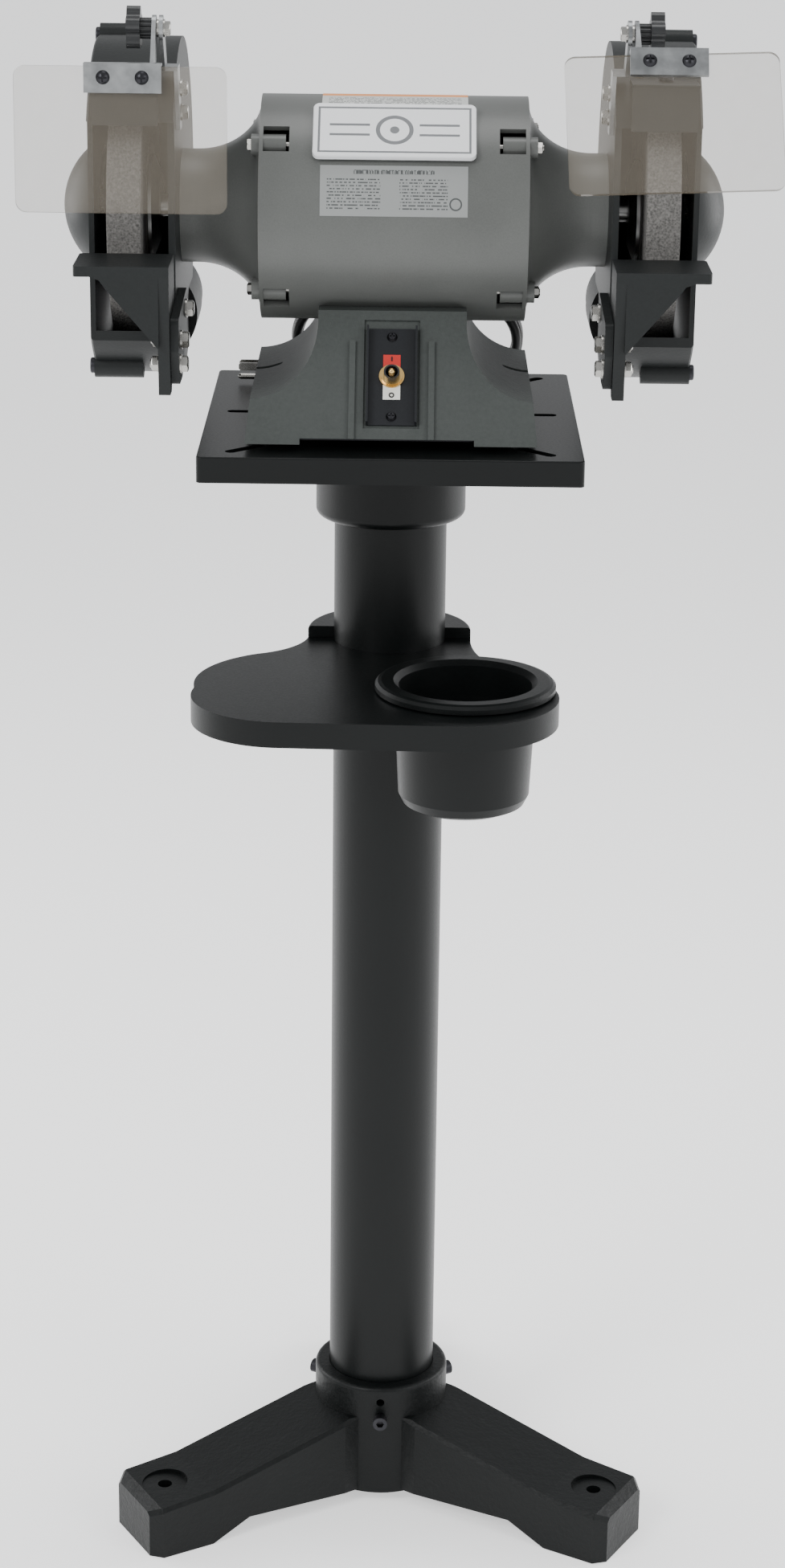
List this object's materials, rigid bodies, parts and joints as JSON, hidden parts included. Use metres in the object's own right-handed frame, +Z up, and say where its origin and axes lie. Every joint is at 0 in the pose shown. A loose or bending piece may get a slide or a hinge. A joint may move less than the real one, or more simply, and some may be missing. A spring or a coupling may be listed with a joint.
{
  "type": "bench grinder on a pedestal stand",
  "caption": "Pedestal-mounted bench grinder with guarded wheels, tool rests, swing-up eye shields, a toggle switch and a sliding tray that holds a water pot.",
  "frame": {"origin": "centre of the floor bolt circle, on the column's axis at floor level", "axes": "+Z up the column; -Y towards the operator, who faces the switch; +X to the operator's right"},
  "size_m": [0.5535, 0.467, 1.2608],
  "materials": {
    "stand_black": "satin black paint",
    "cast_black": "black paint over a sand casting",
    "base_grey": "wrinkled grey paint",
    "motor_grey": "satin grey paint",
    "guard_charcoal": "satin charcoal paint",
    "black_steel": "black oxide",
    "nickel_steel": "bright nickel",
    "ground_steel": "ground",
    "lamination_steel": "stacked sheet",
    "copper_wire": "varnished",
    "zinc_plate": "zinc plated",
    "capacitor_can": "drawn",
    "switch_black": "satin",
    "black_plastic": "moulded",
    "legend_white": "printed plate",
    "brass": "polished",
    "badge_white": "moulded",
    "label_silver": "printed foil",
    "abrasive": "vitrified grit",
    "clear_shield": "clear polycarbonate",
    "rubber": "moulded",
    "cord_black": "matt jacket"
  },
  "bodies": {
    "stand": {"table_plate": "stand_black", "column_tube": "stand_black", "base_casting": "cast_black", "base_set_screws": "black_steel", "motor_base": "base_grey", "base_bottom_cover": "black_steel", "rubber_feet": "rubber", "motor_frame": "motor_grey", "end_bells": "motor_grey", "tie_bolts": "nickel_steel", "stator_core": "lamination_steel", "stator_windings": "copper_wire", "bearing_outers_and_balls": "ground_steel", "capacitor": "capacitor_can", "switch_plate": "switch_black", "switch_screws": "black_steel", "switch_body": "black_plastic", "switch_legend": "legend_white", "toggle_nut": "brass", "name_badge": "badge_white", "motor_labels": "label_silver", "guard_housing_left": "guard_charcoal", "guard_housing_right": "guard_charcoal", "guard_covers": "guard_charcoal", "dust_ports": "guard_charcoal", "rest_brackets": "guard_charcoal", "shield_brackets": "zinc_plate", "cover_screws": "black_steel", "rest_bolts": "nickel_steel", "arrestor_screws": "black_steel", "shield_bracket_bolts": "nickel_steel", "cord_gland": "cord_black", "cord_lead": "cord_black", "cord_hank": "cord_black", "cord_tail": "cord_black", "cord_plug": "cord_black"},
    "rotor": {"rotor_shaft": "ground_steel", "rotor_core": "lamination_steel", "centrifugal_switch": "black_plastic", "bearing_inner_rings": "ground_steel", "grinding_wheels": "abrasive", "wheel_flanges": "ground_steel", "arbor_nuts": "nickel_steel"},
    "toggle": {"toggle_lever": "brass"},
    "rest_left": {"tool_rest_left": "guard_charcoal"},
    "rest_right": {"tool_rest_right": "guard_charcoal"},
    "arrestor_left": {"spark_arrestor_left": "guard_charcoal"},
    "arrestor_right": {"spark_arrestor_right": "guard_charcoal"},
    "shield_left": {"shield_arm_left": "zinc_plate", "eye_shield_left": "clear_shield", "shield_screws_left": "black_steel"},
    "shield_right": {"shield_arm_right": "zinc_plate", "eye_shield_right": "clear_shield", "shield_screws_right": "black_steel"},
    "knob_left": {"shield_knob_left": "black_plastic"},
    "knob_right": {"shield_knob_right": "black_plastic"},
    "tray": {"tool_tray": "stand_black", "tray_clamp": "stand_black", "tray_clamp_bolts": "black_steel"},
    "pot": {"water_pot": "stand_black"}
  },
  "joints": [
    {"name": "rotor_spin", "type": "hinge", "parent": "stand", "child": "rotor", "pos_m": [0, 0, 1.101], "axis": [1, 0, 0], "continuous": true},
    {"name": "switch_toggle", "type": "hinge", "parent": "stand", "child": "toggle", "pos_m": [0, -0.10028, 0.98954], "axis": [-1, 0, 0], "range_deg": [0, 24]},
    {"name": "rest_slide_left", "type": "slide", "parent": "stand", "child": "rest_left", "axis": [0, 1, 0], "range_m": [-0.012, 0.003]},
    {"name": "arrestor_slide_left", "type": "slide", "parent": "stand", "child": "arrestor_left", "axis": [0, -1, 0], "range_m": [0, 0.006]},
    {"name": "shield_hinge_left", "type": "hinge", "parent": "stand", "child": "shield_left", "pos_m": [-0.17, -0.105, 1.245], "axis": [-1, 0, 0], "range_deg": [-5, 98]},
    {"name": "knob_turn_left", "type": "hinge", "parent": "stand", "child": "knob_left", "pos_m": [-0.182, -0.105, 1.245], "axis": [1, 0, 0], "range_deg": [-180, 0]},
    {"name": "rest_slide_right", "type": "slide", "parent": "stand", "child": "rest_right", "axis": [0, 1, 0], "range_m": [-0.012, 0.003]},
    {"name": "arrestor_slide_right", "type": "slide", "parent": "stand", "child": "arrestor_right", "axis": [0, -1, 0], "range_m": [0, 0.006]},
    {"name": "shield_hinge_right", "type": "hinge", "parent": "stand", "child": "shield_right", "pos_m": [0.17, -0.105, 1.245], "axis": [-1, 0, 0], "range_deg": [-34, 69]},
    {"name": "knob_turn_right", "type": "hinge", "parent": "stand", "child": "knob_right", "pos_m": [0.182, -0.105, 1.245], "axis": [1, 0, 0], "range_deg": [-180, 0]},
    {"name": "tray_height", "type": "slide", "parent": "stand", "child": "tray", "axis": [0, 0, 1], "range_m": [-0.5, 0.05]},
    {"name": "pot_lift", "type": "slide", "parent": "tray", "child": "pot", "axis": [0, 0, 1], "range_m": [0, 0.1]}
  ]
}
